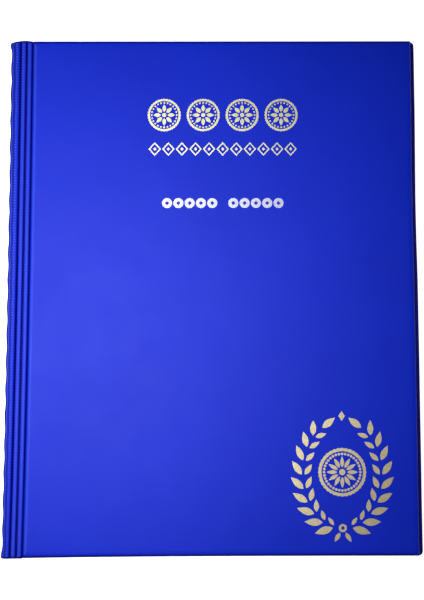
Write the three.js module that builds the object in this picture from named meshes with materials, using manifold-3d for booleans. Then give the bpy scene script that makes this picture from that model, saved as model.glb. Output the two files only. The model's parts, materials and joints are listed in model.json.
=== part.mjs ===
// Coin album: two padded, vinyl-wrapped covers and a soft spine around ten pocket leaves
// that turn on a plastic comb binding.
//
// Millimetres. +X points from the spine to the fore edge, +Y to the head of the album and
// +Z from the back cover to the front cover. The origin is the middle of the closed album's
// footprint, on the surface that the back cover lies on.

import * as THREE from 'three';
import { mergeVertices } from 'three/addons/utils/BufferGeometryUtils.js';
import Module from 'manifold-3d';

const wasm = await Module();
wasm.setup();

// ---- driving dimensions ----

const WIDTH = 218;
const HEIGHT = 273;
const THICKNESS = 28;
const CORNER_RADIUS = 2.5;

const SPINE_FACE = -WIDTH / 2;
const FORE_EDGE = WIDTH / 2;

// Layers of one cover, counted from its outer face inwards.
const SKIN = 0.4;
const FOAM = 1.2;
const BOARD = 1.8;
const LINER = 0.3;
const LAYER_GAP = 0.1;
const COVER = 4.0;

// The weld flange that runs round the three free edges of a cover.
const FLANGE_FORE = 2.0;
const FLANGE_END = 1.0;
const FLANGE_THICKNESS = 0.4;

// The soft spine and the ribbed hinge strips beside it.
const SPINE_THICKNESS = 1.2;
const FOLD_RADIUS = 0.9;
const HINGE_GAP = 0.3;
const HINGE_THICKNESS = 2 * FOLD_RADIUS;
const HINGE_END = 11.0;
const GROOVE_OFFSETS = [4.4, 7.6];
const GROOVE_WIDTH = 0.9;
const GROOVE_DEPTH = 0.9;
const WEB_THICKNESS = 0.7;
const WEB_WIDTH = 0.9;

// The comb: loops on one pitch, joined by a strip that lies on the back cover.
const LOOPS = 18;
const LOOP_PITCH = 14.29;
const LOOP_WIDTH = 5.0;
const COMB_RADIUS = 9.2;
const COMB_THICKNESS = 0.8;
const COMB_X = SPINE_FACE + 11.4;
const COMB_Z = THICKNESS / 2;
const STRIP_HALF_ANGLE = 20;
const LOOP_SWEEP = 310;
const LOOP_STEPS = 22;
const STRIP_STEPS = 6;

// The leaves: a punched back film and a slit pocket film, welded together.
const LEAVES = 10;
const LEAF_PITCH = 1.75;
const LEAF_WIDTH = 195;
const LEAF_HEIGHT = 261;
const FILM = 0.4;
const SLOT_LENGTH = 8.0;
const SLOT_WIDTH = 3.2;
const SLOT_EDGE = 3.5;
const MARGIN = 13;
const POCKET_INSET = 2.0;
const POCKET_ROWS = 6;
const MOUTH_HEIGHT = 1.2;
const MOUTH_INSET = 4.0;

// ---- finishes ----

const vinyl = { color: 0x1c2ab4, roughness: 0.5, metalness: 0 };
const foam = { color: 0xe9e4d2, roughness: 0.95, metalness: 0 };
const greyboard = { color: 0x8a8378, roughness: 0.9, metalness: 0 };
const clearFilm = { color: 0xdfe8ee, roughness: 0.2, metalness: 0 };
const combPlastic = { color: 0xf2f2f0, roughness: 0.4, metalness: 0 };
const tapeCloth = { color: 0xd9d9d4, roughness: 0.8, metalness: 0 };

// ---- helpers ----

const album = new THREE.Group();

function place(name, geometry, finish) {
  const mesh = new THREE.Mesh(geometry, new THREE.MeshStandardMaterial(finish));
  mesh.name = name;
  album.add(mesh);
  return mesh;
}

function toSolid(geometry) {
  const bare = geometry.clone();
  bare.deleteAttribute('normal');
  bare.deleteAttribute('uv');
  const merged = mergeVertices(bare, 1e-4);
  return new wasm.Manifold(new wasm.Mesh({
    numProp: 3,
    vertProperties: new Float32Array(merged.attributes.position.array),
    triVerts: new Uint32Array(merged.index.array),
  }));
}

function toGeometry(solid) {
  const mesh = solid.getMesh();
  const geometry = new THREE.BufferGeometry();
  geometry.setAttribute('position', new THREE.BufferAttribute(mesh.vertProperties, 3));
  geometry.setIndex(new THREE.BufferAttribute(mesh.triVerts, 1));
  return geometry;
}

function slab(x0, x1, y0, y1, z0, z1) {
  const geometry = new THREE.BoxGeometry(x1 - x0, y1 - y0, z1 - z0);
  return geometry.translate((x0 + x1) / 2, (y0 + y1) / 2, (z0 + z1) / 2);
}

// A plate with its outline in XY, square at the spine side and rounded at the fore edge.
function plate(x0, x1, halfHeight, radius, z0, z1) {
  const outline = new THREE.Shape();
  outline.moveTo(x0, -halfHeight);
  outline.lineTo(x1 - radius, -halfHeight);
  outline.absarc(x1 - radius, -halfHeight + radius, radius, -Math.PI / 2, 0);
  outline.lineTo(x1, halfHeight - radius);
  outline.absarc(x1 - radius, halfHeight - radius, radius, 0, Math.PI / 2);
  outline.lineTo(x0, halfHeight);
  const settings = { depth: z1 - z0, bevelEnabled: false, curveSegments: 6 };
  return new THREE.ExtrudeGeometry(outline, settings).translate(0, 0, z0);
}

// Extrudes an outline drawn in XZ along Y, centred on the album's mid-height.
function alongHeight(outline, length, curveSegments = 8) {
  const settings = { depth: length, bevelEnabled: false, curveSegments };
  const geometry = new THREE.ExtrudeGeometry(outline, settings);
  geometry.rotateX(Math.PI / 2);
  return geometry.translate(0, length / 2, 0);
}

// Turns a front-cover piece over to make the same piece of the back cover. Every such piece is
// the same at head and tail, so half a turn about X does it.
function turnOver(geometry) {
  return geometry.rotateX(Math.PI).translate(0, 0, THICKNESS);
}

// ---- covers ----

const coverStart = SPINE_FACE + HINGE_END + LAYER_GAP;
const boardEnd = FORE_EDGE - FLANGE_FORE;
const boardHalfHeight = HEIGHT / 2 - FLANGE_END;

// The outer skin: a shallow tray over the foam and board, with a flange round its mouth.
function coverSkin() {
  const linerTop = THICKNESS - COVER + LINER;
  const mouth = linerTop + LAYER_GAP;
  const flangeTop = mouth + FLANGE_THICKNESS;
  const dome = toSolid(
    plate(coverStart, boardEnd, boardHalfHeight, CORNER_RADIUS, mouth, THICKNESS));
  const flange = toSolid(
    plate(coverStart, FORE_EDGE, HEIGHT / 2, CORNER_RADIUS, mouth, flangeTop));
  const hollow = toSolid(
    plate(coverStart + SKIN, boardEnd - SKIN, boardHalfHeight - SKIN, CORNER_RADIUS - SKIN,
      mouth - 1, THICKNESS - SKIN));
  return toGeometry(dome.add(flange).subtract(hollow));
}

function coverFilling(depth, thickness) {
  const inset = SKIN + LAYER_GAP;
  const top = THICKNESS - depth;
  return plate(coverStart + inset, boardEnd - inset, boardHalfHeight - inset,
    CORNER_RADIUS - inset, top - thickness, top);
}

function coverLiner() {
  const bottom = THICKNESS - COVER;
  return plate(coverStart, FORE_EDGE, HEIGHT / 2, CORNER_RADIUS, bottom, bottom + LINER);
}

// The hinge strip: two ribs and a flap of vinyl between grooves, thin where it meets the cover.
function hingeStrip() {
  const start = SPINE_FACE + 2 * FOLD_RADIUS + HINGE_GAP;
  const end = SPINE_FACE + HINGE_END;
  const under = THICKNESS - HINGE_THICKNESS;
  const outline = new THREE.Shape();
  outline.moveTo(start, under);
  outline.lineTo(end, under);
  outline.lineTo(end, under + WEB_THICKNESS);
  outline.lineTo(end - WEB_WIDTH, under + WEB_THICKNESS);
  outline.lineTo(end - WEB_WIDTH, THICKNESS);
  for (const offset of [...GROOVE_OFFSETS].reverse()) {
    const middle = SPINE_FACE + offset;
    outline.lineTo(middle + GROOVE_WIDTH / 2, THICKNESS);
    outline.lineTo(middle, THICKNESS - GROOVE_DEPTH);
    outline.lineTo(middle - GROOVE_WIDTH / 2, THICKNESS);
  }
  outline.lineTo(start, THICKNESS);
  return alongHeight(outline, HEIGHT);
}

// ---- spine ----

// A flat band of vinyl whose two long edges swell into the round folds that it hinges on.
function spineSkin() {
  const foldX = SPINE_FACE + FOLD_RADIUS;
  const innerX = SPINE_FACE + SPINE_THICKNESS;
  const topZ = THICKNESS - FOLD_RADIUS;
  const meet = Math.acos((innerX - foldX) / FOLD_RADIUS);
  const outline = new THREE.Shape();
  outline.moveTo(SPINE_FACE, FOLD_RADIUS);
  outline.absarc(foldX, FOLD_RADIUS, FOLD_RADIUS, Math.PI, Math.PI * 2 + meet);
  outline.absarc(foldX, topZ, FOLD_RADIUS, -meet, Math.PI);
  return alongHeight(outline, HEIGHT, 14);
}

function spineLiner() {
  const x0 = SPINE_FACE + SPINE_THICKNESS + LAYER_GAP;
  const clear = 2 * FOLD_RADIUS + 2 * HINGE_GAP;
  return slab(x0, x0 + LINER, -HEIGHT / 2 + 1, HEIGHT / 2 - 1, clear, THICKNESS - clear);
}

// ---- comb binding ----

// A band bent round the comb's axis, from one angle to another, as wide as `length` along Y.
function bentBand(fromDegrees, sweepDegrees, length, steps) {
  const inner = COMB_RADIUS - COMB_THICKNESS / 2;
  const outer = COMB_RADIUS + COMB_THICKNESS / 2;
  const outline = new THREE.Shape();
  const angleAt = (i) => THREE.MathUtils.degToRad(fromDegrees + (sweepDegrees * i) / steps);
  const pointAt = (radius, i) => [
    COMB_X + radius * Math.cos(angleAt(i)),
    COMB_Z + radius * Math.sin(angleAt(i)),
  ];
  outline.moveTo(...pointAt(outer, 0));
  for (let i = 1; i <= steps; i += 1) {
    outline.lineTo(...pointAt(outer, i));
  }
  for (let i = steps; i >= 0; i -= 1) {
    outline.lineTo(...pointAt(inner, i));
  }
  return alongHeight(outline, length);
}

function loopOffset(i) {
  return (i - (LOOPS - 1) / 2) * LOOP_PITCH;
}

function comb() {
  const strip = bentBand(270 - STRIP_HALF_ANGLE, 2 * STRIP_HALF_ANGLE, LEAF_HEIGHT, STRIP_STEPS);
  const overlap = 2;
  const start = 270 + STRIP_HALF_ANGLE - overlap;
  const loop = bentBand(start, LOOP_SWEEP + overlap, LOOP_WIDTH, LOOP_STEPS);
  const loops = [];
  for (let i = 0; i < LOOPS; i += 1) {
    loops.push(toSolid(loop.clone().translate(0, loopOffset(i), 0)));
  }
  return toGeometry(wasm.Manifold.union([toSolid(strip), ...loops]));
}

// The adhesive strip under the comb, on the back cover's liner.
function combTape() {
  const halfWidth = 3.0;
  const bottom = COVER + 0.05;
  const top = COMB_Z - COMB_RADIUS - COMB_THICKNESS / 2 - 0.05;
  return slab(COMB_X - halfWidth, COMB_X + halfWidth, -LEAF_HEIGHT / 2, LEAF_HEIGHT / 2,
    bottom, top);
}

// ---- leaves ----

// Height of a leaf above the comb's axis; leaf 1 is the top one.
function leafRise(number) {
  return ((LEAVES + 1) / 2 - number) * LEAF_PITCH;
}

function leafLeft(number) {
  const rise = leafRise(number);
  const slotX = COMB_X + Math.sqrt(COMB_RADIUS ** 2 - rise ** 2);
  return slotX - SLOT_EDGE;
}

function rectangle(path, x0, x1, y0, y1) {
  path.moveTo(x0, y0);
  path.lineTo(x1, y0);
  path.lineTo(x1, y1);
  path.lineTo(x0, y1);
  path.closePath();
  return path;
}

function backFilm() {
  const outline = rectangle(new THREE.Shape(), 0, LEAF_WIDTH, -LEAF_HEIGHT / 2, LEAF_HEIGHT / 2);
  for (let i = 0; i < LOOPS; i += 1) {
    const middle = loopOffset(i);
    outline.holes.push(rectangle(new THREE.Path(), SLOT_EDGE - SLOT_WIDTH / 2,
      SLOT_EDGE + SLOT_WIDTH / 2, middle - SLOT_LENGTH / 2, middle + SLOT_LENGTH / 2));
  }
  const film = new THREE.ExtrudeGeometry(outline, { depth: FILM, bevelEnabled: false });
  return film.translate(0, 0, -FILM / 2);
}

// The pocket film has one long mouth above each row of pockets.
function pocketFilm() {
  const x1 = LEAF_WIDTH - POCKET_INSET;
  const halfHeight = LEAF_HEIGHT / 2 - POCKET_INSET;
  const outline = rectangle(new THREE.Shape(), MARGIN, x1, -halfHeight, halfHeight);
  const rowPitch = (2 * halfHeight) / POCKET_ROWS;
  for (let row = 0; row < POCKET_ROWS; row += 1) {
    const top = halfHeight - row * rowPitch - MOUTH_INSET;
    outline.holes.push(rectangle(new THREE.Path(), MARGIN + MOUTH_INSET, x1 - MOUTH_INSET,
      top - MOUTH_HEIGHT, top));
  }
  const film = new THREE.ExtrudeGeometry(outline, { depth: FILM, bevelEnabled: false });
  return film.translate(0, 0, FILM / 2 + LAYER_GAP);
}

function leaf(number) {
  const tag = String(number).padStart(2, '0');
  const z = COMB_Z + leafRise(number);
  for (const [part, geometry] of [['back_film', backFilm()], ['pocket_film', pocketFilm()]]) {
    const mesh = place(`leaf_${tag}_${part}`, geometry, clearFilm);
    mesh.position.set(leafLeft(number), 0, z);
  }
}

// ---- assembly ----

const foamDepth = SKIN + LAYER_GAP;
const boardDepth = foamDepth + FOAM + LAYER_GAP;

place('front_cover_skin', coverSkin(), vinyl);
place('front_cover_foam', coverFilling(foamDepth, FOAM), foam);
place('front_cover_board', coverFilling(boardDepth, BOARD), greyboard);
place('front_cover_liner', coverLiner(), vinyl);
place('front_hinge', hingeStrip(), vinyl);

place('back_cover_skin', turnOver(coverSkin()), vinyl);
place('back_cover_foam', turnOver(coverFilling(foamDepth, FOAM)), foam);
place('back_cover_board', turnOver(coverFilling(boardDepth, BOARD)), greyboard);
place('back_cover_liner', turnOver(coverLiner()), vinyl);
place('back_hinge', turnOver(hingeStrip()), vinyl);

place('spine_skin', spineSkin(), vinyl);
place('spine_liner', spineLiner(), vinyl);

place('binding_comb', comb(), combPlastic);
place('binding_tape', combTape(), tapeCloth);

for (let number = 1; number <= LEAVES; number += 1) {
  leaf(number);
}

export default album;
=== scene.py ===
"""Coin album: the looks of a padded vinyl album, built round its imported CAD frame.

Metres. +X points from the spine to the fore edge, +Y to the head, +Z from the back cover to
the front cover. Pieces of the back cover are the front ones turned over.
"""

import json
import math

import bmesh
import bpy
from mathutils import Matrix, Vector, noise


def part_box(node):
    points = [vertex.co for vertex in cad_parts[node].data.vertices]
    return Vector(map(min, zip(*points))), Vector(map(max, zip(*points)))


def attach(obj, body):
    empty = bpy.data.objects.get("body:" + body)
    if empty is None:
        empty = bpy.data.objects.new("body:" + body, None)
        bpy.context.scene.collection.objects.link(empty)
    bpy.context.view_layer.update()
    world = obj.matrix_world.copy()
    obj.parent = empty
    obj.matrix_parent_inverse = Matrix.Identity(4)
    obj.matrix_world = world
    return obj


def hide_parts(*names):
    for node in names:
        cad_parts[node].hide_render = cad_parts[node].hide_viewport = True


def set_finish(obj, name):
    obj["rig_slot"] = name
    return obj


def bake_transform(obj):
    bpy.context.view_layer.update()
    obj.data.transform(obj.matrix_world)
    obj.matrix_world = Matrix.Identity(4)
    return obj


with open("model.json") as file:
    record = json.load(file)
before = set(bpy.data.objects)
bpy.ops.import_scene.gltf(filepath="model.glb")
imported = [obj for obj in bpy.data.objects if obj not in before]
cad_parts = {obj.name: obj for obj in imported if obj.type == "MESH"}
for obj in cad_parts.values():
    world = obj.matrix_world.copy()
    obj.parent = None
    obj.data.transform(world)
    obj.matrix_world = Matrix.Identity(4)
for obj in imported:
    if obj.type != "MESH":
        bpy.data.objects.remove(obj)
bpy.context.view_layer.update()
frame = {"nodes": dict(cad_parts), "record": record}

MM = 0.001

# ---- places, all from the frame ----

_, SKIN_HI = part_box("front_cover_skin")
HINGE_LO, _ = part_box("front_hinge")
SPINE_LO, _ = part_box("spine_skin")
COMB_LO, COMB_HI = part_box("binding_comb")
SPINE_LINER_LO, SPINE_LINER_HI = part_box("spine_liner")

TOP = SKIN_HI.z
SPINE_X = SPINE_LO.x
FORE_X = SKIN_HI.x
HALF_HEIGHT = SKIN_HI.y
MID_Z = TOP / 2

# The comb's loops, 9/16 inch apart, and the dots that the welding tool leaves along an edge.
LOOPS = 18
LOOP_PITCH = 14.29 * MM
KNURL_PITCH = 1.5 * MM

# Distances from the spine's face to the weld line and the three grooves beside it.
WELD_LINE = 1.75 * MM
GROOVES = [4.4 * MM, 7.6 * MM, 10.8 * MM]
GROOVE_HALF_WIDTH = 0.95 * MM
GROOVE_DEPTH = 0.95 * MM

# How the soft hinge and the tail edge lie off their straight places.
TAIL_LEAN = -0.35 * MM
HEAD_OVER_TAIL_LEAN = 1.75 * MM
FORE_TAIL_SPREAD = 0.22 * MM
SPINE_OVER_FORE_SPREAD = 1.25 * MM

# The rounding of the hinge's two outer corners, as (across, along) the spine.
HEAD_CORNER = (6.4 * MM, 2.3 * MM)
TAIL_CORNER = (2.0 * MM, 1.0 * MM)
CORNER_REACH = 6 * MM
HEAD_STEP = 0.34 * MM


# ---- small numeric helpers ----

def lerp(a, b, t):
    return a + (b - a) * t


def smooth(t):
    t = min(1.0, max(0.0, t))
    return t * t * (3 - 2 * t)


def spaced(a, b, step):
    """Evenly spaced values from a to b, about a step apart."""
    count = max(1, round(abs(b - a) / step))
    return [lerp(a, b, i / count) for i in range(count + 1)]


def ripple(y):
    """1 over each loop of the comb, -1 half-way between two loops."""
    return math.cos(2 * math.pi * (y / LOOP_PITCH - 0.5))


def dots(s):
    """A row of round-topped bumps, one to each knurl pitch, from 0 to 1."""
    return 0.5 + 0.5 * math.cos(2 * math.pi * s / KNURL_PITCH)


def hinge_lean(y):
    """How far the soft hinge leans in towards the fore edge: most at the head, and a little
    the other way at the tail, as the ribs of a hand-fed weld do."""
    up = (y + HALF_HEIGHT) / (2 * HALF_HEIGHT)
    up = min(1.0, max(0.0, up))
    return HEAD_OVER_TAIL_LEAN * (1 - (1 - up) ** 2.6) + TAIL_LEAN


def tail_spread(x, y):
    """How far the tail spreads at its edge: most beside the spine, least at the fore edge."""
    across = min(1.0, max(0.0, (x - SPINE_X) / (FORE_X - SPINE_X)))
    down = min(1.0, max(0.0, -y / HALF_HEIGHT))
    return (SPINE_OVER_FORE_SPREAD * (1 - across) ** 3 + FORE_TAIL_SPREAD) * down ** 2


def corner_cut(x, y):
    """How much the hinge's ends are cut back at x from the spine's face: the two outer corners
    are rounded off, and the head runs on into the cover's edge."""
    across, along_y = HEAD_CORNER if y > 0 else TAIL_CORNER
    near = smooth((abs(y) - HALF_HEIGHT + CORNER_REACH) / CORNER_REACH)
    inward = 1 - min(1.0, max(0.0, x / across))
    cut = along_y * (1 - math.sqrt(1 - inward * inward))
    if y > 0:
        cut += HEAD_STEP * smooth((x - GROOVES[1]) / (GROOVES[2] - GROOVES[1]))
    return math.copysign(cut * near, y)


def wander(x, y, size, seed):
    """Slow random drift from -1 to 1, the same on every run."""
    return noise.noise(Vector((x / size, y / size, seed)))


# ---- mesh helpers ----

def add_object(name, data):
    obj = bpy.data.objects.new(name, data)
    bpy.context.scene.collection.objects.link(obj)
    return obj


def new_object(name, points, faces, material, slot=None, shade=None, spread=False):
    """A smooth mesh with one material; shade is a value for each point, and spread lays the
    tail edge as tail_spread says."""
    if spread:
        points = [(x, y - tail_spread(x, y), z) for x, y, z in points]
    mesh = bpy.data.meshes.new(name)
    mesh.from_pydata([tuple(p) for p in points], [], faces)
    if shade is not None:
        layer = mesh.attributes.new("shade", "FLOAT", "POINT")
        layer.data.foreach_set("value", shade)
    mesh.validate()
    mesh.polygons.foreach_set("use_smooth", [True] * len(mesh.polygons))
    obj = add_object(name, mesh)
    mesh.materials.append(material)
    weld(obj)
    if slot:
        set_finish(obj, slot)
    return obj


def weld(obj):
    """Joins points that lie on each other, drops faces with no area, and points faces out."""
    distance = 0.002 * MM
    bm = bmesh.new()
    bm.from_mesh(obj.data)
    bmesh.ops.remove_doubles(bm, verts=bm.verts, dist=distance)
    bmesh.ops.dissolve_degenerate(bm, edges=bm.edges, dist=distance)
    bmesh.ops.recalc_face_normals(bm, faces=bm.faces)
    bm.to_mesh(obj.data)
    bm.free()


def grid_solid(us, vs, outer, inner):
    """A closed sheet between two surfaces over the same grid. outer and inner map (u, v) to a
    point, and a fourth value, where there is one, is its painted shade; below 0 it is a painted
    highlight."""
    points, shade, faces = [], [], []
    columns, rows = len(us), len(vs)
    for surface in (outer, inner):
        for v in vs:
            for u in us:
                x, y, z, *dark = surface(u, v)
                points.append((x, y, z))
                shade.append(dark[0] if dark else 0.0)
    layer = columns * rows

    def at(side, i, j):
        return side * layer + j * columns + i

    for j in range(rows - 1):
        for i in range(columns - 1):
            faces.append((at(0, i, j), at(0, i + 1, j), at(0, i + 1, j + 1), at(0, i, j + 1)))
            faces.append((at(1, i, j), at(1, i, j + 1), at(1, i + 1, j + 1), at(1, i + 1, j)))
    for i in range(columns - 1):
        faces.append((at(0, i, 0), at(1, i, 0), at(1, i + 1, 0), at(0, i + 1, 0)))
        last = rows - 1
        faces.append((at(0, i, last), at(0, i + 1, last), at(1, i + 1, last), at(1, i, last)))
    for j in range(rows - 1):
        faces.append((at(0, 0, j), at(0, 0, j + 1), at(1, 0, j + 1), at(1, 0, j)))
        last = columns - 1
        faces.append((at(0, last, j), at(1, last, j), at(1, last, j + 1), at(0, last, j + 1)))
    return points, faces, shade


def open_sheet(us, vs, outer, inner, kept):
    """A closed sheet like grid_solid's, with every cell left out for which kept(i, j) is false,
    and walls round what is left."""
    columns, rows = len(us), len(vs)
    points = [surface(u, v) for surface in (outer, inner) for v in vs for u in us]
    layer = columns * rows
    cells = {(i, j) for j in range(rows - 1) for i in range(columns - 1) if kept(i, j)}
    faces = []
    for i, j in cells:
        ring = [(i, j), (i + 1, j), (i + 1, j + 1), (i, j + 1)]
        upper = [column + row * columns for column, row in ring]
        faces.append(upper)
        faces.append([layer + index for index in reversed(upper)])
        beside = [(i, j - 1), (i + 1, j), (i, j + 1), (i - 1, j)]
        for k, cell in enumerate(beside):
            if cell not in cells:
                a, b = upper[k], upper[(k + 1) % 4]
                faces.append([b, a, layer + a, layer + b])
    used = sorted({index for face in faces for index in face})
    renumber = {index: k for k, index in enumerate(used)}
    faces = [[renumber[index] for index in face] for face in faces]
    return [points[index] for index in used], faces


def loft(rings):
    """Joins closed rings of equal length, one after the other, and returns points and faces."""
    count = len(rings[0])
    points = [p for ring in rings for p in ring]
    faces = []
    for k in range(len(rings) - 1):
        for i in range(count):
            j = (i + 1) % count
            faces.append((k * count + i, k * count + j, (k + 1) * count + j, (k + 1) * count + i))
    return points, faces


def turned_over(obj, name):
    """A copy of a front piece, mirrored top to bottom to be the same piece at the back."""
    mesh = obj.data.copy()
    mesh.transform(Matrix.Translation((0, 0, TOP)) @ Matrix.Diagonal((1, 1, -1, 1)))
    mesh.flip_normals()
    copy = add_object(name, mesh)
    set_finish(copy, obj["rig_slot"])
    return copy


# ---- materials ----

def new_material(name):
    material = bpy.data.materials.new(name)
    material.use_nodes = True
    tree = material.node_tree
    tree.nodes.clear()
    output = tree.nodes.new("ShaderNodeOutputMaterial")
    shader = tree.nodes.new("ShaderNodeBsdfPrincipled")
    tree.links.new(shader.outputs["BSDF"], output.inputs["Surface"])
    return material, tree, shader


def object_noise(tree, scale, detail, roughness=0.55):
    coordinates = tree.nodes.new("ShaderNodeTexCoord")
    texture = tree.nodes.new("ShaderNodeTexNoise")
    texture.inputs["Scale"].default_value = scale
    texture.inputs["Detail"].default_value = detail
    texture.inputs["Roughness"].default_value = roughness
    tree.links.new(coordinates.outputs["Object"], texture.inputs["Vector"])
    return texture.outputs["Fac"]


def remap(tree, value, low, high, start=0.3, end=0.7):
    node = tree.nodes.new("ShaderNodeMapRange")
    node.inputs["From Min"].default_value = start
    node.inputs["From Max"].default_value = end
    node.inputs["To Min"].default_value = low
    node.inputs["To Max"].default_value = high
    tree.links.new(value, node.inputs["Value"])
    return node.outputs["Result"]


def mix_colour(tree, factor, first, second):
    """first and second are colours, or outputs that give one."""
    node = tree.nodes.new("ShaderNodeMix")
    node.data_type = "RGBA"
    tree.links.new(factor, node.inputs["Factor"])
    for socket, value in ((node.inputs["A"], first), (node.inputs["B"], second)):
        if isinstance(value, bpy.types.NodeSocket):
            tree.links.new(value, socket)
        else:
            socket.default_value = (*value, 1)
    return node.outputs["Result"]


def add_bump(tree, shader, heights, distance):
    """heights is a list of (output, strength); the bumps are laid over each other."""
    normal = None
    for height, strength in heights:
        bump = tree.nodes.new("ShaderNodeBump")
        bump.inputs["Strength"].default_value = strength
        bump.inputs["Distance"].default_value = distance
        tree.links.new(height, bump.inputs["Height"])
        if normal:
            tree.links.new(normal, bump.inputs["Normal"])
        normal = bump.outputs["Normal"]
    tree.links.new(normal, shader.inputs["Normal"])


def vinyl_material(name, light, dark, groove, painted_highlight, roughness):
    """Embossed PVC sheet: fine grain and slow mottling, then painted shade, a deeper colour in
    grooves, welds and edges (shade above 0), and painted highlight, a paler colour on welded dots,
    rib crowns and the lip (shade below 0)."""
    material, tree, shader = new_material(name)
    mottle = remap(tree, object_noise(tree, 22, 2), 0.0, 1.0, 0.1, 0.9)
    speck = remap(tree, object_noise(tree, 900, 2), 0.0, 0.35)
    colour = mix_colour(tree, mottle, light, dark)
    colour = mix_colour(tree, speck, colour, dark)
    # painted shade: above 0 the shade attribute draws the colour towards groove; painted highlight:
    # below 0 it draws it towards the paler colour
    pressed_and_painted_light = tree.nodes.new("ShaderNodeAttribute")
    pressed_and_painted_light.attribute_name = "shade"
    colour = mix_colour(tree, pressed_and_painted_light.outputs["Fac"], colour, groove)
    painted_highlight_share = remap(tree, pressed_and_painted_light.outputs["Fac"], 1.0, 0.0, -1.0, 0.0)
    colour = mix_colour(tree, painted_highlight_share, colour, painted_highlight)
    tree.links.new(colour, shader.inputs["Base Color"])
    gloss = remap(tree, object_noise(tree, 60, 3), roughness - 0.01, roughness + 0.02)
    tree.links.new(gloss, shader.inputs["Roughness"])
    shader.inputs["Specular IOR Level"].default_value = 0.08
    grain = object_noise(tree, 2600, 2)
    dimple = object_noise(tree, 240, 3)
    add_bump(tree, shader, [(dimple, 0.05), (grain, 0.22)], 0.06 * MM)
    return material


def foil_material(name, light, dark, metallic):
    """Hot-stamped foil: bright metal flecked where it missed the grain of the vinyl."""
    material, tree, shader = new_material(name)
    fleck = remap(tree, object_noise(tree, 2400, 3), 0.0, 1.0, 0.38, 0.62)
    colour = mix_colour(tree, fleck, light, dark)
    tree.links.new(colour, shader.inputs["Base Color"])
    gloss = remap(tree, object_noise(tree, 1500, 2), 0.34, 0.52)
    tree.links.new(gloss, shader.inputs["Roughness"])
    shader.inputs["Metallic"].default_value = metallic
    add_bump(tree, shader, [(object_noise(tree, 2600, 2), 0.35)], 0.06 * MM)
    return material


def plain_plastic(name, light, dark, roughness):
    material, tree, shader = new_material(name)
    cloud = remap(tree, object_noise(tree, 35, 3), 0.0, 1.0)
    tree.links.new(mix_colour(tree, cloud, light, dark), shader.inputs["Base Color"])
    gloss = remap(tree, object_noise(tree, 90, 3), roughness - 0.05, roughness + 0.07)
    tree.links.new(gloss, shader.inputs["Roughness"])
    add_bump(tree, shader, [(object_noise(tree, 400, 3), 0.15)], 0.05 * MM)
    return material


def film_material(name, light, dark, weld_frost_and_painted_shade):
    """Clear page film: see-through, and frosted where it is welded down (shade above 0), where its
    darker tone is painted shade.
    """
    material, tree, shader = new_material(name)
    cloud = remap(tree, object_noise(tree, 35, 3), 0.0, 1.0)
    pressed_and_painted_light = tree.nodes.new("ShaderNodeAttribute")
    pressed_and_painted_light.attribute_name = "shade"
    colour = mix_colour(tree, cloud, light, dark)
    # the weld lines' darker tone is painted shade; their frost is in the roughness and opacity below
    colour = mix_colour(tree, pressed_and_painted_light.outputs["Fac"], colour, weld_frost_and_painted_shade)
    tree.links.new(colour, shader.inputs["Base Color"])
    gloss = remap(tree, pressed_and_painted_light.outputs["Fac"], 0.24, 0.55, 0.0, 1.0)
    tree.links.new(gloss, shader.inputs["Roughness"])
    opacity = remap(tree, pressed_and_painted_light.outputs["Fac"], 0.42, 0.72, 0.0, 1.0)
    tree.links.new(opacity, shader.inputs["Alpha"])
    add_bump(tree, shader, [(object_noise(tree, 70, 2), 0.10)], 0.05 * MM)
    return material


def fibre_material(name, light, dark, scale):
    """Foam, board and tape: matt, with flecks or fibres."""
    material, tree, shader = new_material(name)
    fleck = remap(tree, object_noise(tree, scale, 5, 0.7), 0.0, 1.0, 0.35, 0.65)
    tree.links.new(mix_colour(tree, fleck, light, dark), shader.inputs["Base Color"])
    gloss = remap(tree, object_noise(tree, scale, 2), 0.8, 0.95)
    tree.links.new(gloss, shader.inputs["Roughness"])
    add_bump(tree, shader, [(object_noise(tree, scale * 1.7, 4), 0.5)], 0.15 * MM)
    return material


# In each vinyl, the third colour is painted shade for grooves, welds and edges, and the fourth is a
# painted highlight for welded dots, rib crowns and the lip.
VINYL = vinyl_material("royal_blue_vinyl", (0.003, 0.021, 0.56), (0.002, 0.017, 0.48),
                       (0.001, 0.001, 0.13), (0.10, 0.17, 0.90), 0.44)
LINER_VINYL = vinyl_material("liner_vinyl", (0.003, 0.011, 0.44), (0.002, 0.008, 0.37),
                             (0.001, 0.001, 0.12), (0.08, 0.13, 0.75), 0.52)
GOLD = foil_material("gold_foil", (0.50, 0.44, 0.27), (0.35, 0.30, 0.17), 0.75)
COIN_GOLD = foil_material("coin_gold_foil", (0.57, 0.56, 0.33), (0.40, 0.38, 0.22), 0.75)
PALE_GOLD = foil_material("pale_gold_foil", (0.33, 0.34, 0.42), (0.27, 0.28, 0.35), 0.7)
# The third colour is the welded lines' frost, darkened as painted shade.
CLEAR_FILM = film_material("clear_film", (0.78, 0.83, 0.87), (0.70, 0.77, 0.83),
                           (0.50, 0.57, 0.64))
WHITE_PLASTIC = plain_plastic("comb_plastic", (0.80, 0.80, 0.78), (0.70, 0.70, 0.68), 0.35)
FOAM = fibre_material("padding_foam", (0.80, 0.76, 0.62), (0.62, 0.58, 0.45), 900)
BOARD = fibre_material("greyboard", (0.30, 0.27, 0.23), (0.17, 0.15, 0.12), 700)
TAPE = fibre_material("cloth_tape", (0.66, 0.66, 0.62), (0.50, 0.50, 0.47), 1400)


# ---- the padded cover ----

PAD_X0 = SPINE_X + GROOVES[2]
SKIN_THICKNESS = 0.4 * MM

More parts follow.
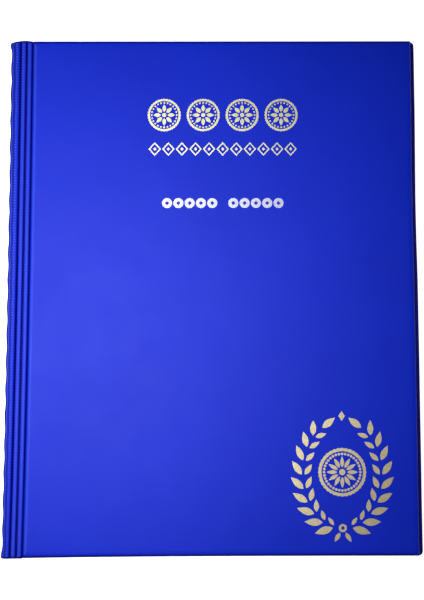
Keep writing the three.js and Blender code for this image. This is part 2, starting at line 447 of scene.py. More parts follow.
# One row for each ring of the cover's edge: how far it lies in from the fore edge, from the
# head and tail, and from the hinge groove, then its height at those three from the top face,
# all in millimetres.
EDGE_RINGS = [
    (0.00, 0.00, 0.00, -3.45, -3.45, -3.50),
    (0.06, -0.08, 0.02, -3.24, -3.24, -2.90),
    (0.22, -0.10, 0.03, -3.16, -3.16, -2.20),
    (0.55, -0.08, 0.04, -3.14, -3.12, -1.60),
    (0.85, -0.02, 0.05, -3.14, -3.10, -1.20),
    (1.15, 0.02, 0.06, -3.14, -3.08, -1.00),
    (1.50, 0.05, 0.10, -3.14, -3.04, -0.92),
    (1.82, 0.07, 0.20, -3.06, -2.94, -0.86),
    (1.98, 0.08, 0.32, -2.75, -2.60, -0.74),
    (2.06, 0.09, 0.44, -2.20, -2.00, -0.60),
    (2.16, 0.11, 0.58, -1.60, -1.30, -0.45),
    (2.34, 0.19, 0.74, -1.08, -0.84, -0.30),
    (2.62, 0.42, 0.94, -0.68, -0.52, -0.17),
    (3.00, 0.85, 1.20, -0.40, -0.31, -0.06),
    (3.50, 1.45, 1.55, -0.22, -0.19, 0.00),
    (4.20, 2.30, 2.00, -0.12, -0.11, 0.01),
    (5.20, 3.60, 2.60, -0.08, -0.08, -0.05),
    (6.60, 5.20, 3.60, -0.06, -0.06, -0.09),
    (9.00, 7.60, 6.00, -0.05, -0.05, -0.08),
    (14.0, 12.6, 11.0, -0.04, -0.04, -0.05),
    (24.0, 22.6, 21.0, -0.02, -0.02, -0.02),
    (45.0, 43.6, 42.0, 0.00, 0.00, 0.00),
    (75.0, 73.6, 72.0, 0.00, 0.00, 0.00),
]
KNURLED_RINGS = range(3, 7)
WANDERING_RINGS = range(9)
# On the hinge side, the lip's rings get a painted highlight.
LIP_RINGS = range(12, 16)
PLAIN_RING = len(EDGE_RINGS)
UNDERSIDE_RINGS = (0, 8, 13, 18, 22)
RIM_KNURL_HEIGHT = 0.16 * MM
RIM_WANDER = 0.10 * MM
END_WELD_WIDTH = 0.7 * MM
LEAN_REACH = 40 * MM
FORE_BOW = 0.42 * MM
FORE_BOW_Y = 52 * MM
FORE_BOW_REACH = 42 * MM
FORE_BOW_DEPTH = 6 * MM
CORNER_RADIUS = 2.3 * MM
LEAST_CORNER_RADIUS = 0.35 * MM
CORNER_STEPS = 8


def ring_samples(step=KNURL_PITCH / 3):
    """Where a ring's points lie: (side, how far along it), clockwise from the head's hinge end."""
    width, height = FORE_X - PAD_X0, 2 * HALF_HEIGHT
    across = round(width / step)
    up = round(height / step)
    samples = []
    for side, count in (("head", across), ("fore", up), ("tail", across), ("hinge", up)):
        samples += [(side, i / count) for i in range(count)]
        samples += [(side + "_corner", i / CORNER_STEPS) for i in range(CORNER_STEPS)]
    return samples


def ring_points(samples, row, number, lift=0.0):
    """The points of one ring; number says which of EDGE_RINGS it is, or PLAIN_RING."""
    fore_in, end_in, hinge_in, fore_z, end_z, hinge_z = (value * MM for value in row)
    x0, x1 = PAD_X0 + hinge_in, FORE_X - fore_in
    y1 = HALF_HEIGHT - end_in
    radius = max(CORNER_RADIUS - fore_in, LEAST_CORNER_RADIUS)
    square = min(radius, LEAST_CORNER_RADIUS)
    knurled = number in KNURLED_RINGS
    points = []
    for side, t in samples:
        if side == "head":
            x, y, z, along_edge = lerp(x0 + square, x1 - radius, t), y1, end_z, True
        elif side == "head_corner":
            angle = math.pi / 2 * (1 - t)
            x, y = x1 - radius + radius * math.cos(angle), y1 - radius + radius * math.sin(angle)
            z, along_edge = lerp(end_z, fore_z, t), False
        elif side == "fore":
            x, y, z, along_edge = x1, lerp(y1 - radius, -y1 + radius, t), fore_z, True
        elif side == "fore_corner":
            angle = -math.pi / 2 * t
            x, y = x1 - radius + radius * math.cos(angle), -y1 + radius + radius * math.sin(angle)
            z, along_edge = lerp(fore_z, end_z, t), False
        elif side == "tail":
            x, y, z, along_edge = lerp(x1 - radius, x0 + square, t), -y1, end_z, True
        elif side == "tail_corner":
            angle = -math.pi / 2 * (1 + t)
            x, y = x0 + square + square * math.cos(angle), -y1 + square + square * math.sin(angle)
            z, along_edge = lerp(end_z, hinge_z, t), False
        elif side == "hinge":
            x, y, z, along_edge = x0, lerp(-y1 + square, y1 - square, t), hinge_z, False
        else:
            angle = math.pi - math.pi / 2 * t
            x, y = x0 + square + square * math.cos(angle), y1 - square + square * math.sin(angle)
            z, along_edge = lerp(hinge_z, end_z, t), False
        if knurled and along_edge:
            z += RIM_KNURL_HEIGHT * dots(y if side == "fore" else x)
        if number in WANDERING_RINGS:
            x += RIM_WANDER * wander(x, y, 30 * MM, 2.0) * (x > 0)
        if side.startswith("fore") and x > FORE_X - FORE_BOW_DEPTH:
            x -= FORE_BOW * math.exp(-((y - FORE_BOW_Y) / FORE_BOW_REACH) ** 2)
        x += hinge_lean(y) * (1 - smooth((x - PAD_X0) / LEAN_REACH))
        points.append((x, y, TOP + min(z, 0.0) + lift))
    return points


def collapsed_ring(points, lift):
    """The ring drawn in to the cover's middle line, which closes the surface."""
    half_line = HALF_HEIGHT - (FORE_X - PAD_X0) / 2
    middle = (PAD_X0 + FORE_X) / 2
    return [(middle, max(-half_line, min(half_line, y)), TOP + lift) for _, y, _ in points]


def cover_pad():
    """The padded face with its welded rim, with painted shade on the rim, at the foot of the lip and
    across the welded head and tail, and a painted highlight on the lip.
    """
    samples = ring_samples()
    top = [ring_points(samples, row, number) for number, row in enumerate(EDGE_RINGS)]
    under = [ring_points(samples, EDGE_RINGS[number], PLAIN_RING, -SKIN_THICKNESS)
             for number in UNDERSIDE_RINGS]
    middle = collapsed_ring(top[-1], 0.0)
    rings = [collapsed_ring(top[-1], -SKIN_THICKNESS), *reversed(under), *top, middle]
    points, faces = loft(rings)
    count = len(samples)
    shade = [0.0] * len(points)
    first_top = (1 + len(under)) * count
    # Painted shade grows with how far a ring has dropped below the top face and across the welded
    # head and tail; the lip gets a painted highlight.
    dark_from, dark_depth, lip_painted_highlight = 0.35 * MM, 0.9 * MM, -0.16
    for number in range(len(top)):
        for i, (side, _) in enumerate(samples):
            _, y, z = top[number][i]
            dark = min(1.0, max(0.0, (TOP - z - dark_from) / dark_depth))
            if side == "hinge" and number in LIP_RINGS:
                dark = lip_painted_highlight
            end_dark = 1 - smooth((HALF_HEIGHT - abs(y) - END_WELD_WIDTH) / (1.2 * MM))
            shade[first_top + number * count + i] = lerp(dark, 1.0, end_dark)
    return new_object("front_cover_pad", points, faces, VINYL, slot="cover_vinyl", shade=shade,
                      spread=True)


# Rows as in EDGE_RINGS, for the foam under the skin.
FOAM_RINGS = [
    (2.80, 1.75, 0.95, -1.74, -1.74, -1.74),
    (2.85, 1.85, 1.05, -1.45, -1.45, -1.45),
    (3.20, 2.15, 1.30, -1.08, -1.08, -1.05),
    (3.90, 2.70, 1.80, -0.82, -0.82, -0.80),
    (5.60, 4.20, 3.00, -0.64, -0.64, -0.62),
    (9.20, 7.80, 6.20, -0.55, -0.55, -0.55),
    (45.0, 43.6, 42.0, -0.50, -0.50, -0.50),
]

# Rows as in EDGE_RINGS, for the sheet inside the cover: its rim, its weld line and its field.
LINER_RINGS = [
    (0.14, 0.14, 0.10, -3.72, -3.72, -3.72),
    (0.00, 0.00, 0.00, -3.84, -3.84, -3.84),
    (0.16, 0.16, 0.12, -3.95, -3.95, -3.95),
    (1.00, 0.70, 0.60, -3.97, -3.97, -3.97),
    (1.70, 1.20, 1.10, -3.95, -3.95, -3.95),
    (2.00, 1.50, 1.40, -3.83, -3.83, -3.83),
    (2.50, 2.00, 1.90, -3.83, -3.83, -3.83),
    (2.90, 2.40, 2.30, -3.97, -3.97, -3.97),
    (4.60, 4.10, 4.00, -4.03, -4.03, -4.03),
    (12.0, 10.6, 10.0, -4.00, -4.00, -4.00),
    (45.0, 43.6, 42.0, -4.00, -4.00, -4.00),
]


def ringed_sheet(name, rows, material, slot, closing, painted_shade_heights=None):
    """A closed sheet or slab through rings, shut by its middle line at the two heights of
    closing. Where two heights are given, the sheet gets painted shade, none at the first height and
    full at the second."""
    samples = ring_samples(2.0 * MM)
    rings = [ring_points(samples, row, PLAIN_RING) for row in rows]
    first, last = closing
    rings = [collapsed_ring(rings[-1], first), *rings, collapsed_ring(rings[-1], last)]
    points, faces = loft(rings)
    shade = [0.0] * len(points)
    if painted_shade_heights is not None:
        for i, (_, _, z) in enumerate(points):
            shade[i] = smooth((z - painted_shade_heights[0]) / (painted_shade_heights[1] - painted_shade_heights[0]))
    return new_object(name, points, faces, material, slot=slot, shade=shade, spread=True)


def cover_foam():
    underside, face = -1.74 * MM, -0.50 * MM
    return ringed_sheet("front_foam", FOAM_RINGS, FOAM, "foam", (underside, face))


def cover_liner():
    upper, face = -3.71 * MM, -4.00 * MM
    # Painted shade in the recessed weld line and the curled rim, none at the field's height and full
    # at the weld's.
    field_z, weld_z = TOP - 3.95 * MM, TOP - 3.83 * MM
    return ringed_sheet("front_liner_sheet", LINER_RINGS, LINER_VINYL, "liner_vinyl",
                        (upper, face), painted_shade_heights=(field_z, weld_z))


# ---- hinge strips, folds and spine ----

RIB_KNURL_OFFSET = 1.05 * MM
RIB_KNURL_HEIGHT = 0.10 * MM
FOLD_KNURL_OFFSET = 0.80 * MM
KNURL_ROW_WIDTH = 0.36 * MM
RIB_CROWN = 0.12 * MM
RIB_WANDER = 0.05 * MM
END_DROP = 0.40 * MM

def groove_depth(x):
    """How deep the ribbed strip is pressed at a distance x from the spine's face."""
    depth = 0.0
    for groove in GROOVES:
        near = abs(x - groove) / GROOVE_HALF_WIDTH
        depth = max(depth, 1.0 - smooth(near))
    return depth


def rib_crown(x):
    """1 on the top of a rib between two grooves, 0 at the grooves."""
    for left, right in zip(GROOVES, GROOVES[1:]):
        if left <= x <= right:
            return math.sin(math.pi * (x - left) / (right - left)) ** 0.7
    return 1.0


def knurl_beside(x, y, groove):
    """A row of welded dots beside a groove, from 0 to 1: how far each stands up, and how far
    the sheet is pressed down between two. They are plainest at the head."""
    across = (x - groove) / KNURL_ROW_WIDTH
    line = math.exp(-across * across) * lerp(0.5, 1.0, (y + HALF_HEIGHT) / (2 * HALF_HEIGHT))
    raised = dots(y)
    return line * raised ** 2, line * (1 - raised)


def hinge_surface(x, y):
    """Height of the ribbed strip below the top face, and its painted light there: painted shade in
    the grooves and between the welded dots, and a painted highlight on the rib crowns and on the
    dots.
    """
    depth = groove_depth(x)
    z = -GROOVE_DEPTH * depth - RIB_CROWN * (1 - rib_crown(x))
    # painted shade in the grooves, and a painted highlight on the rib crowns
    dark = smooth((depth - 0.3) / 0.45)
    if dark <= 0:
        dark = -0.10 * rib_crown(x)
    for groove in GROOVES[:2]:
        raised, between = knurl_beside(x, y, groove + RIB_KNURL_OFFSET)
        z += RIB_KNURL_HEIGHT * (raised - between)
        # painted shade between the welded dots, and a painted highlight on them
        dark += 0.18 * between - 0.36 * raised
    z += RIB_WANDER * wander(x, y, 9 * MM, 4.0)
    return min(z, 0.0), dark


def end_drop(y):
    """The strip's ends are welded flat at the head and the tail: how far they drop, and how
    much painted shade is laid on the weld."""
    edge = HALF_HEIGHT - abs(y)
    drop = -END_DROP * (1 - smooth(edge / (1.0 * MM)))
    return drop, 1 - smooth((edge - END_WELD_WIDTH) / (0.9 * MM))


def end_rows():
    """Rows across the hinge, closer together at the head and the tail."""
    close_step, close_reach = 0.1 * MM, 1.15 * MM
    rows = spaced(-HALF_HEIGHT, HALF_HEIGHT, KNURL_PITCH / 4)
    close = [rows[0] + count * close_step for count in range(1, 12)]
    inner_rows = [y for y in rows if abs(y) < HALF_HEIGHT - close_reach]
    return [rows[0], *close, *inner_rows, *[-y for y in reversed(close)], rows[-1]]


def hinge_ribs():
    """The ribbed strip between the fold and the pad."""
    xs = spaced(GROOVES[0], GROOVES[2], 0.16 * MM)

    def outer(x, y):
        z, dark = hinge_surface(x, y)
        drop, weld_painted_shade = end_drop(y)
        place = SPINE_X + x + hinge_lean(y)
        z *= 1 - weld_painted_shade
        # painted shade across the welded ends
        return place, y - corner_cut(x, y), TOP + z + drop, lerp(dark, 1.0, weld_painted_shade)

    def inner(x, y):
        return SPINE_X + x + hinge_lean(y), y - corner_cut(x, y), HINGE_LO.z + 0.02 * MM

    points, faces, shade = grid_solid(xs, end_rows(), outer, inner)
    return new_object("front_hinge_ribs", points, faces, VINYL, slot="cover_vinyl", shade=shade,
                      spread=True)


FOLD_START_Z = TOP - 3.2 * MM
SPINE_WALL = 1.2 * MM
SPINE_WAVE = 0.19 * MM
SPINE_DRIFT = 0.10 * MM
SPINE_CROWN = 0.15 * MM
COMB_CLEARANCE = 0.10 * MM
FLARE = 0.45 * MM
FLARE_REACH = 7 * MM


def spine_bulge(y, height):
    """How far the soft spine stands out at a place; height runs from 0 at a fold to 1 half-way
    between the two folds."""
    flare = smooth((abs(y) - HALF_HEIGHT + FLARE_REACH) / FLARE_REACH)
    wave = SPINE_WAVE * ripple(y) * (1 - 0.6 * flare)
    slow = SPINE_DRIFT * wander(0.0, y, 40 * MM, 7.0)
    return wave * lerp(1.0, 1.5, height) + slow + FLARE * flare - 0.48 * hinge_lean(y)


def clear_of_comb(bulge):
    """The spine's inner side leans in no further than the comb behind it lets it."""
    return max(bulge, SPINE_LINER_HI.x - COMB_LO.x + COMB_CLEARANCE)


def corner_path():
    """The fold's section, as (x from the spine's face, z from the top face)."""
    points = []
    radius = 1.15 * MM
    for z in spaced(FOLD_START_Z - TOP, -radius, 0.3 * MM)[:-1]:
        points.append((0.0, z))
    for i in range(CORNER_STEPS + 1):
        angle = math.pi - math.pi / 2 * i / CORNER_STEPS
        points.append((radius + radius * math.cos(angle), -radius + radius * math.sin(angle)))
    for x in spaced(radius, GROOVES[0], 0.14 * MM)[1:]:
        points.append((x, 0.0))
    return points


def fold():
    """The soft vinyl from the spine's face round to the first groove, with its weld line."""
    path = corner_path()
    us = list(range(len(path)))

    def place(x, y):
        """Where a point of the section lies, between the spine's face and the first groove."""
        bend = 1 - smooth(x / GROOVES[0])
        lean = hinge_lean(y) * smooth(x / GROOVES[0])
        return SPINE_X + x + lean - spine_bulge(y, 0.0) * bend, y - corner_cut(x, y)

    def outer(u, y):
        """From the spine inwards: painted shade along the edge, a painted highlight line, the weld's
        trough in painted shade, its dots with painted highlights and painted shade between them, and
        the near side of the first groove in painted shade."""
        x, z = path[u]
        on_top = smooth((x - 0.5 * MM) / (0.6 * MM))
        across = (x - WELD_LINE) / (0.42 * MM)
        trough = math.exp(-across * across)
        raised, between = knurl_beside(x, y, WELD_LINE + FOLD_KNURL_OFFSET)
        depth = 1 - smooth((GROOVES[0] - x) / GROOVE_HALF_WIDTH)
        rim = 0.16 * MM * (1 - smooth(x / (1.3 * MM))) * on_top
        drop, weld_painted_shade = end_drop(y)
        down = 0.20 * MM * trough + 0.16 * MM * between + GROOVE_DEPTH * depth + rim
        # painted shade along the spine's edge
        edge_painted_shade = 1 - smooth((x - 0.60 * MM) / (0.3 * MM))
        edge_painted_shade *= smooth((z + 1.3 * MM) / (0.5 * MM))
        # a painted highlight line beside it
        painted_highlight = 0.45 * smooth((x - 0.85 * MM) / (0.2 * MM))
        painted_highlight *= 1 - smooth((x - 1.15 * MM) / (0.35 * MM))
        # painted shade in the groove, the trough and between the dots; painted highlights on the dots
        dark = max(smooth((depth - 0.3) / 0.45), edge_painted_shade, 0.8 * trough)
        dark += 0.30 * between - 0.8 * raised - painted_highlight
        px, py = place(x, y)
        flat = 1 - weld_painted_shade * on_top
        height = z - down * flat + drop * on_top + 0.10 * MM * raised * flat
        return px, py, TOP + min(height, 0.0), lerp(dark, 1.0, weld_painted_shade * on_top)

    def inner(u, y):
        x, z = path[u]
        px, _ = place(max(x, SPINE_WALL), y)
        return px, y - corner_cut(x, y), TOP + min(z, HINGE_LO.z - TOP)

    points, faces, shade = grid_solid(us, end_rows(), outer, inner)
    return new_object("front_fold", points, faces, VINYL, slot="cover_vinyl", shade=shade,
                      spread=True)


def spine_band():
    """The soft outer sheet of the spine between the two folds."""
    zs = spaced(TOP - FOLD_START_Z, FOLD_START_Z, 0.7 * MM)
    ys = spaced(-HALF_HEIGHT, HALF_HEIGHT, LOOP_PITCH / 20)

    def out(z, y):
        height = math.sin(math.pi * (z - zs[0]) / (zs[-1] - zs[0]))
        return spine_bulge(y, height) + SPINE_CROWN * height

    def outer(z, y):
        return SPINE_X - out(z, y), y - corner_cut(0.0, y), z, 0.0

    def inner(z, y):
        return SPINE_X + SPINE_WALL - clear_of_comb(out(z, y)), y - corner_cut(0.0, y), z

    points, faces, shade = grid_solid(zs, ys, outer, inner)
    return new_object("spine_band", points, faces, VINYL, slot="cover_vinyl", shade=shade,
                      spread=True)


def spine_liner_sheet():
    """The sheet inside the spine, which waves with it as far as the comb lets it."""
    lo, hi = SPINE_LINER_LO, SPINE_LINER_HI
    zs = spaced(lo.z, hi.z, 1.2 * MM)
    ys = spaced(lo.y, hi.y, LOOP_PITCH / 12)

    def out(z, y):
        height = math.sin(math.pi * (z - lo.z) / (hi.z - lo.z))
        return clear_of_comb(spine_bulge(y, height))

    def outer(z, y):
        return lo.x - out(z, y), y, z, 0.0

    def inner(z, y):
        rim = min(z - lo.z, hi.z - z, HALF_HEIGHT - abs(y))
        weld_line = math.exp(-(((rim - 1.4 * MM) / (0.4 * MM)) ** 2))
        # the recessed weld line gets painted shade
        return hi.x - out(z, y) - 0.10 * MM * weld_line, y, z, weld_line

    points, faces, shade = grid_solid(zs, ys, outer, inner)
    return new_object("spine_liner_sheet", points, faces, LINER_VINYL, slot="liner_vinyl",
                      shade=shade)


# ---- binding comb ----

COMB_RADIUS = MID_Z - COMB_LO.z
COMB_X = COMB_HI.x - COMB_RADIUS
COMB_WALL = 0.8 * MM
FINGER_HALF_WIDTH = 2.5 * MM
FINGER_ROUNDING = 0.28 * MM
STRIP_ANGLES = (250.0, 290.0)
FINGER_END = 600.0
TIP_ANGLE = 13.0


def finger_width(angle):
    """The width of a comb finger, as a share of its root, from the strip to its round tip."""
    rolled = (angle - STRIP_ANGLES[1]) / (FINGER_END - STRIP_ANGLES[1])
    taper = lerp(1.0, 0.72, max(0.0, rolled))
    to_tip = (FINGER_END - angle) / TIP_ANGLE
    if to_tip < 1:
        taper *= math.sqrt(max(0.02, 1 - (1 - to_tip) ** 2))
    return taper


def comb_loops():
    """The plastic comb: one strip, and a finger rolled up from it at each loop."""
    edge_y = COMB_HI.y
    across = (-1.0, -0.82, -0.4, 0.4, 0.82, 1.0)
    middles = [(i - (LOOPS - 1) / 2) * LOOP_PITCH for i in range(LOOPS)]
    us = [(-edge_y, None)]
    for middle in middles:
        us += [(share * FINGER_HALF_WIDTH, middle) for share in across]
    us.append((edge_y, None))
    tip_angles = [FINGER_END - TIP_ANGLE * (1 - i / 8) for i in range(1, 9)]
    strip_rows = spaced(STRIP_ANGLES[0], STRIP_ANGLES[1], 8.0)
    vs = strip_rows + spaced(STRIP_ANGLES[1], FINGER_END - TIP_ANGLE, 6.0)[1:] + tip_angles

    def rounding(offset, middle):
        """How far a finger's long edges are rounded off on each side."""
        return FINGER_ROUNDING * (middle is not None) * abs(offset / FINGER_HALF_WIDTH) ** 6

    def surface(side):
        def place(u, angle):
            offset, middle = u
            y = offset if middle is None else middle + offset * min(1.0, finger_width(angle))
            on_finger = angle > STRIP_ANGLES[1] + 1
            radius = COMB_RADIUS if side > 0 else COMB_RADIUS - COMB_WALL
            radius -= side * rounding(offset, middle) * on_finger
            turn = math.radians(angle)
            return COMB_X + radius * math.cos(turn), y, MID_Z + radius * math.sin(turn)
        return place

    def kept(i, j):
        if j < len(strip_rows) - 1:
            return True
        return us[i][1] is not None and us[i][1] == us[i + 1][1]

    points, faces = open_sheet(us, vs, surface(1), surface(-1), kept)
    return new_object("binding_loops", points, faces, WHITE_PLASTIC, slot="comb_plastic")


# ---- leaves ----

POCKET_COLUMNS, POCKET_ROWS = 5, 6
MOUTH_DROP = 3.2 * MM
MOUTH_GAP = 1.2 * MM
FILM = 0.25 * MM
BULGE = 0.42 * MM
WELD_SHARE = 0.03


def pocket_film():
    """One leaf's front film: rows of coin pockets, welded down between, open along the top."""
    lo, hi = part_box("leaf_01_pocket_film")
    width, height = (hi.x - lo.x) / POCKET_COLUMNS, (hi.y - lo.y) / POCKET_ROWS
    shares = (0.0, 0.018, 0.04, 0.11, 0.24, 0.38, 0.5, 0.62, 0.76, 0.89, 0.96, 0.982)
    us = [(c, share) for c in range(POCKET_COLUMNS) for share in shares]
    us.append((POCKET_COLUMNS - 1, 1.0))
    mouth = (height - MOUTH_DROP - MOUTH_GAP) / height, (height - MOUTH_DROP) / height
    row_shares = (0.0, 0.018, 0.04, 0.10, 0.2, 0.32, 0.44, 0.56, 0.68, 0.8, mouth[0], mouth[1], 0.965)
    vs = [(r, share) for r in range(POCKET_ROWS) for share in row_shares]
    vs.append((POCKET_ROWS - 1, 1.0))

    def lift(u, v):
        """How far the film stands off the weld: none on it, most at the mouth's lip."""
        side = smooth(min(u, 1 - u) / 0.16)
        up = smooth(min(v, 1 - v) / 0.12)
        lip = 0.5 * math.exp(-(((v - mouth[0]) / 0.05) ** 2)) * side
        return BULGE * max(side * up, lip)

    def surface(thickness):
        def place(u, v):
            (column, across), (row, up) = u, v
            x = lo.x + (column + across) * width
            y = lo.y + (row + up) * height
            drift = 0.05 * MM * wander(x, y, 25 * MM, 9.0)
            weld_line = min(across, 1 - across, up, 1 - up) < WELD_SHARE
            pressed_and_painted_light = -0.06 * MM if weld_line else 0.0
            return x, y, lo.z + lift(across, up) + drift * (not weld_line) + pressed_and_painted_light + thickness
        return place

    def kept(i, j):
        open_row = abs(vs[j][1] - mouth[0]) < 1e-9
        at_weld = us[i][1] < WELD_SHARE or us[i][1] > 0.95
        return not open_row or at_weld

    def frosting(x, y):
        """1 on the weld lines round the pockets, 0 between them: where the film is frosted and
        darkened with painted shade.
        """
        across, up = (x - lo.x) % width, (y - lo.y) % height
        near = min(across, width - across, up, height - up)
        return 1 - smooth((near - 0.5 * MM) / (0.5 * MM))

    points, faces = open_sheet(us, vs, surface(FILM), surface(0.0), kept)
    shade = [frosting(x, y) for x, y, _ in points]
    return new_object("pocket_film", points, faces, CLEAR_FILM, shade=shade)


def build_leaves():
    """A pocket film for each leaf, as copies of one mesh."""
    film = pocket_film()
    lo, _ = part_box("leaf_01_pocket_film")
    for node in sorted(frame["nodes"]):
        if not node.endswith("_pocket_film"):
            continue
        body = node.removesuffix("_pocket_film")
        mesh = film.data.copy()
        at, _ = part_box(node)
        mesh.transform(Matrix.Translation(at - lo))
        pockets = add_object(body + "_pockets", mesh)
        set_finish(pockets, "leaf_film")
        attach(pockets, body)
        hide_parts(node)
    bpy.data.objects.remove(film)


# ---- foil stamping: plain coins, a chain and a wreath, all of them generic ----

PAD_MIDDLE_X = (PAD_X0 + FORE_X) / 2
FOIL_PROUD = 0.03 * MM
FOIL_THICKNESS = 0.16 * MM

COIN_ROW_Y = HALF_HEIGHT - 41.0 * MM
CHAIN_Y = HALF_HEIGHT - 59.5 * MM
CASH_ROW_Y = HALF_HEIGHT - 88.7 * MM
WREATH_X = FORE_X - 41.8 * MM
WREATH_Y = -HALF_HEIGHT + 41.8 * MM


def circle(radius, x=0.0, y=0.0, waves=0, swell=0.0):
    """A closed round outline in millimetres; its rim has waves where they are given."""
    steps = max(20, round(6 * radius), 8 * waves)
    outline = []
    for i in range(steps):
        angle = 2 * math.pi * i / steps
        reach = radius * (1 + swell * math.cos(waves * angle))
        outline.append((x + reach * math.cos(angle), y + reach * math.sin(angle)))
    return outline


def lozenge(half_width, half_height, x, y=0.0):
    return [(x + half_width, y), (x, y + half_height), (x - half_width, y), (x, y - half_height)]


def pointed_leaf(x, y, heading, length, width):
    """A leaf with its foot at x, y, fullest a little before its middle."""
    steps = 9
    ahead = Vector((math.cos(heading), math.sin(heading)))
    aside = Vector((-ahead.y, ahead.x))
    side = [(t / steps, width / 2 * math.sin(math.pi * (t / steps) ** 0.85)) for t in range(steps)]
    left = [Vector((x, y)) + ahead * length * t + aside * w for t, w in side]
    right = [Vector((x, y)) + ahead * length * t - aside * w for t, w in side[1:]]
    tip = Vector((x, y)) + ahead * length
    return [tuple(p) for p in (*left, tip, *reversed(right))]


def coin(radius, petals):
    """A reeded rim, a row of beads, and a flower of leaves round a boss."""
    outlines = [circle(radius, waves=36, swell=0.012), circle(radius * 0.87)]
    beads = 3 * petals
    for i in range(beads):
        angle = 2 * math.pi * i / beads
        reach = radius * 0.76
        x, y = reach * math.cos(angle), reach * math.sin(angle)
        outlines.append(circle(radius * 0.055, x, y))
    for i in range(petals):
        angle = 2 * math.pi * i / petals
        x, y = radius * 0.20 * math.cos(angle), radius * 0.20 * math.sin(angle)
        outlines.append(pointed_leaf(x, y, angle, radius * 0.46, radius * 2.1 / (petals + 1)))
    outlines.append(circle(radius * 0.13))
    return outlines


def shifted(outlines, dx, dy=0.0):
    return [[(x + dx, y + dy) for x, y in outline] for outline in outlines]


def coin_row():
    """Four coins in a row."""
    radius, pitch = 8.8, 20.85
    outlines = []
    for i in range(4):
        outlines += shifted(coin(radius, 8), (i - 1.5) * pitch)
    return outlines


def chain():
    """A row of open lozenges with a small one in each."""
    count, pitch, half_width, half_height, line = 11, 7.25, 3.35, 3.7, 0.62
    outlines = []
    for i in range(count):
        x = (i - (count - 1) / 2) * pitch
        outlines.append(lozenge(half_width, half_height, x))
        outlines.append(lozenge(half_width - 1.45 * line, half_height - 1.45 * line, x))
        outlines.append(lozenge(0.85, 0.95, x))
    return outlines


def cash_row():
    """Two groups of five small pierced coins."""
    first, pitch, radius, half_hole = 5.6, 6.0, 2.7, 1.15
    outlines = []
    for side in (-1, 1):
        for i in range(5):
            x = side * (first + pitch * i)
            outlines.append(circle(radius, x))
            outlines.append(lozenge(half_hole, half_hole, x))
    return outlines


def laurel_branch(side):
    """Leaves in pairs up an oval stem, from near its foot to a last leaf at its tip."""
    across, up, stations = 20.2, 27.6, 9
    first, last = math.radians(-76), math.radians(60)
    gap = 0.75
    outlines = []
    for i in range(stations + 1):
        angle = lerp(first, last, i / stations)
        x, y = across * math.cos(angle), up * math.sin(angle)
        heading = math.atan2(up * math.cos(angle), -across * math.sin(angle))
        size = lerp(1.0, 0.78, i / stations)
        if i == stations:
            outlines.append(pointed_leaf(x, y, heading, 8.4, 3.6))
            break
        inner_size = size * lerp(0.66, 1.0, smooth(i / 3))
        pair = ((-0.62, 9.8 * size, 3.9 * size), (0.62, 7.4 * inner_size, 3.1 * inner_size))
        for turn, length, width in pair:
            normal = heading + math.copysign(math.pi / 2, turn)
            foot_x, foot_y = x + gap * math.cos(normal), y + gap * math.sin(normal)
            outlines.append(pointed_leaf(foot_x, foot_y, heading + turn, length, width))
    return [[(side * x, y) for x, y in outline] for outline in outlines]


def wreath():
    """Two laurel branches round a coin, tied at the foot, with a lozenge at the top."""
    tie_y, tie_reach = -27.6, 2.7
    outlines = laurel_branch(1) + laurel_branch(-1)
    outlines += shifted(coin(12.4, 12), 0.0, 1.0)
    outlines.append(circle(2.1, 0.0, tie_y))
    outlines.append(circle(0.9, 0.0, tie_y))
    for turn in (-0.55, 0.55):
        heading = -math.pi / 2 + turn
        foot_x, foot_y = tie_reach * math.cos(heading), tie_y + tie_reach * math.sin(heading)
        outlines.append(pointed_leaf(foot_x, foot_y, heading, 5.6, 2.2))
    outlines.append(lozenge(1.7, 2.6, 0.0, 30.0))
    return outlines


def foil(name, outlines, place_x, place_y, material):
    """Thin foil with the given outlines, in millimetres from its place, pressed into the pad."""
    curve = bpy.data.curves.new(name, "CURVE")
    curve.dimensions = "2D"
    curve.fill_mode = "BOTH"
    curve.extrude = FOIL_THICKNESS / 2
    for outline in outlines:
        spline = curve.splines.new("POLY")
        spline.points.add(len(outline) - 1)
        for point, (x, y) in zip(spline.points, outline):
            point.co = (place_x + x * MM, place_y + y * MM, 0, 1)
        spline.use_cyclic_u = True
    source = add_object(name + "_outline", curve)
    graph = bpy.context.evaluated_depsgraph_get()
    mesh = bpy.data.meshes.new_from_object(source.evaluated_get(graph))
    bpy.data.objects.remove(source)
    bpy.data.curves.remove(curve)
    mesh.transform(Matrix.Translation((0, 0, TOP + FOIL_PROUD - FOIL_THICKNESS / 2)))
    mesh.materials.clear()
    mesh.materials.append(material)
    obj = add_object(name, mesh)
    weld(obj)
    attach(obj, "front_cover")


def build_foil():
    foil("foil_coin_row", coin_row(), PAD_MIDDLE_X, COIN_ROW_Y, COIN_GOLD)
    foil("foil_chain", chain(), PAD_MIDDLE_X, CHAIN_Y, COIN_GOLD)
    foil("foil_cash_row", cash_row(), PAD_MIDDLE_X, CASH_ROW_Y, PALE_GOLD)
    foil("foil_wreath", wreath(), WREATH_X, WREATH_Y, GOLD)


# ---- assembly ----

def on_both_covers(piece, back_name, front_node, back_node):
    """Puts a front piece, and a copy of it turned over, in the places of their two solids."""
    back = turned_over(piece, back_name)
    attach(back, "back_cover")
    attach(piece, "front_cover")
    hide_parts(front_node)
    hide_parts(back_node)
    return piece, back


def build_covers():
    pads = on_both_covers(cover_pad(), "back_cover_pad", "front_cover_skin", "back_cover_skin")
    foams = on_both_covers(cover_foam(), "back_foam", "front_cover_foam", "back_cover_foam")
    on_both_covers(cover_liner(), "back_liner_sheet", "front_cover_liner", "back_cover_liner")
    on_both_covers(hinge_ribs(), "back_hinge_ribs", "front_hinge", "back_hinge")


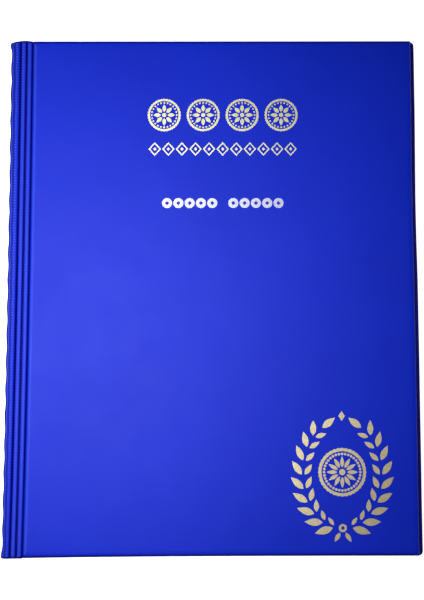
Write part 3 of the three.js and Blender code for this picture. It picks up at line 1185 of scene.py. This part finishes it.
def build_spine():
    """The spine's two sheets, and a fold on each side."""
    band = spine_band()
    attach(band, "spine")
    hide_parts("spine_skin")
    liner = spine_liner_sheet()
    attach(liner, "spine")
    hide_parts("spine_liner")
    front = fold()
    back = turned_over(front, "back_fold")
    for piece, cover, face_z, sign in ((front, "front_cover", TOP, -1), (back, "back_cover", 0, 1)):
        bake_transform(piece)


def build_binding():
    loops = comb_loops()
    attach(loops, "back_cover")
    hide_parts("binding_comb")


def dress_frame():
    """Gives every solid of the frame its finish; those that are replaced don't show."""
    finishes = {
        "liner_vinyl": LINER_VINYL, "foam": FOAM, "greyboard": BOARD, "tape": TAPE,
        "comb_plastic": WHITE_PLASTIC, "leaf_film": CLEAR_FILM, "cover_vinyl": VINYL,
    }
    for row in frame["record"]["subparts"]:
        node = frame["nodes"][row["node"]]
        node.data.materials.clear()
        node.data.materials.append(finishes[row["material_slot"]])


# ---- stage, light and camera ----

def stage():
    """A pale floor a hair below the back cover, which glows a little so that it shows white."""
    material, _, shader = new_material("pale_floor")
    shader.inputs["Base Color"].default_value = (0.86, 0.86, 0.86, 1)
    shader.inputs["Roughness"].default_value = 0.9
    shader.inputs["Emission Color"].default_value = (1, 1, 1, 1)
    shader.inputs["Emission Strength"].default_value = 0.95
    half_width, height = 12.0, -0.02 * MM
    corners = [(-1, -1), (1, -1), (1, 1), (-1, 1)]
    points = [(x * half_width, y * half_width, height) for x, y in corners]
    mesh = bpy.data.meshes.new("floor")
    mesh.from_pydata(points, [], [(0, 1, 2, 3)])
    mesh.materials.append(material)
    add_object("floor", mesh)


def area_light(name, place, target, size, power, spread):
    """A soft box; spread is the angle its light is held within, in degrees."""
    data = bpy.data.lights.new(name, "AREA")
    data.spread = math.radians(spread)
    data.shape = "RECTANGLE"
    data.size, data.size_y = size
    data.energy = power
    light = add_object(name, data)
    light.location = place
    direction = Vector(target) - Vector(place)
    light.rotation_euler = direction.to_track_quat("-Z", "Y").to_euler()


def lights():
    """A room that is pale low down and dim above, and one soft box high over the spine side."""
    world = bpy.data.worlds.new("studio")
    bpy.context.scene.world = world
    world.use_nodes = True
    tree = world.node_tree
    background = tree.nodes["Background"]
    background.inputs["Color"].default_value = (1, 1, 1, 1)
    coordinates = tree.nodes.new("ShaderNodeTexCoord")
    axes = tree.nodes.new("ShaderNodeSeparateXYZ")
    tree.links.new(coordinates.outputs["Generated"], axes.inputs["Vector"])
    at_horizon, overhead = 0.95, 0.11
    strength = remap(tree, axes.outputs["Z"], at_horizon, overhead, 0.03, 0.22)
    tree.links.new(strength, background.inputs["Strength"])
    place, target = (-0.16, 0.01, 0.70), (-0.09, -0.01, 0)
    area_light("key", place, target, size=(0.26, 0.29), power=0.68, spread=52)
    bpy.context.scene.view_settings.view_transform = "Standard"


def camera():
    """Looks down on the cover from above its tail half, near enough to widen the tail."""
    target = Vector((-0.0004, -0.0039, TOP))
    distance, tilt, roll = 0.548, math.radians(5.03), math.radians(-0.04)
    back = Vector((0, -math.sin(tilt), math.cos(tilt)))
    data = bpy.data.cameras.new("camera")
    data.lens = 62.4
    data.sensor_width = 36
    obj = add_object("camera", data)
    obj.location = target + back * distance
    obj.rotation_euler = (tilt, 0, roll)
    bpy.context.scene.camera = obj


camera()
lights()
stage()
dress_frame()
build_covers()
build_spine()
build_foil()
build_binding()
build_leaves()
